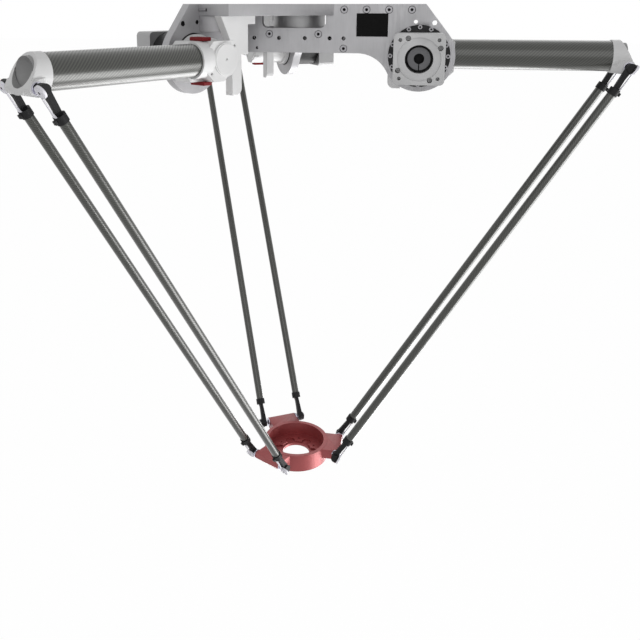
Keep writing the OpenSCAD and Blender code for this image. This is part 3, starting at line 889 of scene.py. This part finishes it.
@dataclass
class FineSolids:
    """Nodes whose solids are right, shown as smooth copies; each part with the width of its bevels."""

    shop: Workshop
    shared: tuple[tuple[str, float], ...] = (
        ("top_plate", 0.0008), ("centre_tube", 0.0006), ("corner_gussets", 0.0008),
        ("frame_screws", 0.0004), ("gearbox_screws", 0.0003), ("rating_plate", 0.0002), ("platform", 0.0010))
    per_leg: tuple[tuple[str, float], ...] = (
        ("side_plate", 0.0007), ("stop_web", 0.0012), ("gearbox", 0.0005), ("motor_adapter", 0.0007),
        ("input_hub", 0.0005), ("gearbox_output", 0.0004), ("arm_hub", 0.0012), ("hub_cap", 0.0006),
        ("elbow_fitting", 0.0008), ("elbow_studs", 0.0003), ("stop_buffers", 0.0015), ("rod_ends", 0.0006),
        ("wrist_studs", 0.0003))
    # Widest hole of each part that gets painted shade in its holes.
    widest_hole: tuple[tuple[str, float], ...] = (
        ("side_plate", 0.011), ("motor_adapter", 0.0036), ("frame_screws", 0.009),
        ("gearbox_screws", 0.006), ("input_hub", 0.0195))
    neck_top: float = -0.011
    neck_length: float = 0.035
    neck_slack: float = 0.0003
    neck_reach: float = 0.0082
    neck_taper: float = 0.30
    hub_face: float = -0.151
    hub_chamfer: float = 0.001
    mouth_radius: float = 0.0275
    bore_radius: float = 0.0098

    def taper_necks(self, piece: bpy.types.Object, leg: Leg) -> None:
        """Narrows the moulded necks towards the tubes: y' = ball + (y - ball) (1 - taper t), t from 0 to 1.

        Args:
            piece: The settled rod ends.
            leg: The leg they belong to.
        """
        flat = np.empty(3 * len(piece.data.vertices), np.float64)
        piece.data.vertices.foreach_get("co", flat)
        points = flat.reshape(-1, 3)
        out, across, up = leg.local(points)
        away, above = out - leg.elbow_out, up - leg.elbow_height
        c, s = math.cos(leg.lean), math.sin(leg.lean)
        x, w = away * c - above * s, away * s + above * c
        z = np.where(w < -leg.rod_length / 2, -leg.rod_length - w, w)
        ball = leg.ball_across * np.sign(across)
        neck = (z < self.neck_top) & (z > self.neck_top - self.neck_length - self.neck_slack)
        neck &= np.hypot(x, across - ball) < self.neck_reach
        share = self.neck_taper * np.clip((self.neck_top - z) / self.neck_length, 0, 1)
        across = np.where(neck, ball + (across - ball) * (1 - share), across)
        points[:, :2] = leg.place(out, across, up)[:, :2]
        piece.data.vertices.foreach_set("co", points.astype(np.float32).ravel())
        piece.data.update()

    def shade_mouth(self, piece: bpy.types.Object, leg: Leg) -> None:
        """Paints shade on the walls inside the elbow's mouth with a darker grey.

        Args:
            piece: The settled elbow fitting.
            leg: The leg it belongs to.
        """
        piece.data.materials.append(self.shop.finish("painted_mouth_shade"))
        shoulder, ahead = leg.shoulder, leg.ahead
        for face in piece.data.polygons:
            way = face.center - shoulder
            away = way - way.dot(ahead) * ahead
            if away.length < self.mouth_radius and face.normal.dot(away) < 0:
                # Painted shade on the mouth's walls.
                face.material_index = 1

    def shade_bore(self, piece: bpy.types.Object, leg: Leg) -> None:
        """Paints shade inside the shaft's bore: every face there, its closed end too, gets the near-black
        colour.

        Args:
            piece: The settled input hub, which has the near-black painted shade second.
            leg: The leg it belongs to.
        """
        shoulder, sideways = leg.shoulder, leg.sideways
        for face in piece.data.polygons:
            way = face.center - shoulder
            depth = way.dot(sideways)
            deep = depth > self.hub_face + self.hub_chamfer
            if deep and (way - depth * sideways).length < self.bore_radius:
                # Painted shade on the faces inside the bore.
                face.material_index = 1

    def copy(self, part: str, node: str, width: float) -> bpy.types.Object:
        """Makes the fine copy of a node, with painted shade in its holes where it has any.

        Args:
            part: The part that the node is one of.
            node: The node.
            width: Width of the bevels.

        Returns:
            The copy.
        """
        piece = self.shop.from_solid(node, width)
        holes = dict(self.widest_hole)
        if part in holes:
            # Painted shade in the part's holes.
            self.shop.shade_recesses(piece, holes[part])
        return piece

    def build(self) -> None:
        """Builds every fine copy, and gives the parts that need it their own touch."""
        touches = {"input_hub": self.shade_bore, "rod_ends": self.taper_necks,
                   "elbow_fitting": self.shade_mouth}
        for part, width in self.shared:
            self.copy(part, part, width)
        for part, width in self.per_leg:
            for name in LEGS:
                piece = self.copy(part, f"{part}_{name}", width)
                if part in touches:
                    touches[part](piece, Leg(name))


@dataclass(frozen=True)
class Lamp:
    """A soft square lamp, aimed at the robot's middle and hidden from the camera."""

    name: str
    place: Place
    size: float
    power: float
    target: Place = (0, 0, -0.4)

    def build(self) -> None:
        """Makes the lamp."""
        data = bpy.data.lights.new(self.name, "AREA")
        data.size, data.energy = self.size, self.power
        lamp = show(self.name, data)
        lamp.location = self.place
        lamp.visible_camera = False
        lamp.rotation_mode = "QUATERNION"
        lamp.rotation_quaternion = (Vector(self.target) - Vector(self.place)).to_track_quat("-Z", "Y")


def bright_rays(tree: bpy.types.NodeTree) -> bpy.types.NodeSocket:
    """One for camera, glossy and transmission rays, else zero: the largest of the three.

    Args:
        tree: The node tree to add it to.

    Returns:
        The socket with the result.
    """
    path = tree.nodes.new("ShaderNodeLightPath")
    share = path.outputs["Is Camera Ray"]
    for kind in ("Is Glossy Ray", "Is Transmission Ray"):
        largest = tree.nodes.new("ShaderNodeMath")
        largest.operation = "MAXIMUM"
        tree.links.new(share, largest.inputs[0])
        tree.links.new(path.outputs[kind], largest.inputs[1])
        share = largest.outputs[0]
    return share


@dataclass
class Studio:
    """Pale floor, soft lamps, white surroundings and the camera."""

    place: Place = (0.24244, -1.57567, 0.0003)
    forward: Place = (-0.17974, 0.95659, -0.22941)
    lens: float = 41.64
    sensor: float = 36
    shift: tuple[float, float] = (0.0714, -0.2215)
    clip: tuple[float, float] = (0.01, 100)
    floor_drop: float = 1.9
    floor_reach: float = 60.0
    floor_colour: RGB = (0.9, 0.9, 0.9)
    floor_rough: float = 0.9
    floor_glow: float = 0.985
    daylight: float = 0.40
    lamps: tuple[Lamp, ...] = (
        Lamp("Key", (2.7, 0.05, -2.05), 2.0, 76), Lamp("Fill", (0.6, -3.0, 0.8), 2.4, 18),
        Lamp("Back", (0.4, 2.8, 1.8), 2.4, 10), Lamp("Low", (0.25, 1.2, -2.1), 1.3, 26))

    def camera(self) -> None:
        """Makes the camera, level, looking along forward."""
        data = bpy.data.cameras.new("Camera")
        data.lens, data.sensor_width = self.lens, self.sensor
        data.shift_x, data.shift_y = self.shift
        data.clip_start, data.clip_end = self.clip
        cam = show("Camera", data)
        cam.location = self.place
        cam.rotation_mode = "QUATERNION"
        cam.rotation_quaternion = Vector(self.forward).to_track_quat("-Z", "Y")
        bpy.context.scene.camera = cam

    def floor(self) -> None:
        """Makes a plain pale floor under the robot, which glows for what camera and metals see."""
        low, r = CAD_BOX[0][2] - self.floor_drop, self.floor_reach
        mesh = bpy.data.meshes.new("Floor")
        mesh.from_pydata([(-r, -r, low), (r, -r, low), (r, r, low), (-r, r, low)], [], [(0, 1, 2, 3)])
        n = Nodes("Floor white")
        n.set_shader(Base_Color=(*self.floor_colour, 1), Roughness=self.floor_rough)
        glow, mix = n.add("ShaderNodeEmission"), n.add("ShaderNodeMixShader")
        share = n.add("ShaderNodeMath", operation="MULTIPLY")
        share.inputs[1].default_value = self.floor_glow
        n.tree.links.new(bright_rays(n.tree), share.inputs[0])
        n.join(share, "Value", mix, 0)
        n.join(n.shader, "BSDF", mix, 1)
        n.join(glow, "Emission", mix, 2)
        n.join(mix, "Shader", n.out, "Surface")
        mesh.materials.append(n.material)
        show("Floor", mesh)

    def world(self) -> None:
        """Makes surroundings that are white for what the camera and metals see, and dimmer as a light."""
        world = bpy.data.worlds.new("World")
        world.use_nodes = True
        tree = world.node_tree
        tree.nodes.clear()
        mix, out = tree.nodes.new("ShaderNodeMixShader"), tree.nodes.new("ShaderNodeOutputWorld")
        tree.links.new(bright_rays(tree), mix.inputs[0])
        for socket, strength in ((1, self.daylight), (2, 1.0)):
            sky = tree.nodes.new("ShaderNodeBackground")
            sky.inputs["Color"].default_value = (1, 1, 1, 1)
            sky.inputs["Strength"].default_value = strength
            tree.links.new(sky.outputs[0], mix.inputs[socket])
        tree.links.new(mix.outputs[0], out.inputs[0])
        bpy.context.scene.world = world

    def build(self) -> None:
        """Sets the view, the camera, the floor and the lights."""
        bpy.context.scene.view_settings.view_transform = "Standard"
        self.camera()
        self.world()
        self.floor()
        for lamp in self.lamps:
            lamp.build()


def main() -> None:
    """Builds the sub-assemblies in order, then the studio."""
    logging.basicConfig(level=logging.INFO, format="%(name)s %(message)s")
    shop = Workshop()
    for node in frame["nodes"]:
        shop.dress(node)
    FineSolids(shop).build()
    tubes, clips = TubeSet(shop), Clips(shop)
    for name in LEGS:
        Limb(Leg(name), tubes).build()
        clips.build(Leg(name))
    Studio().build()


if __name__ == "__main__":
    main()
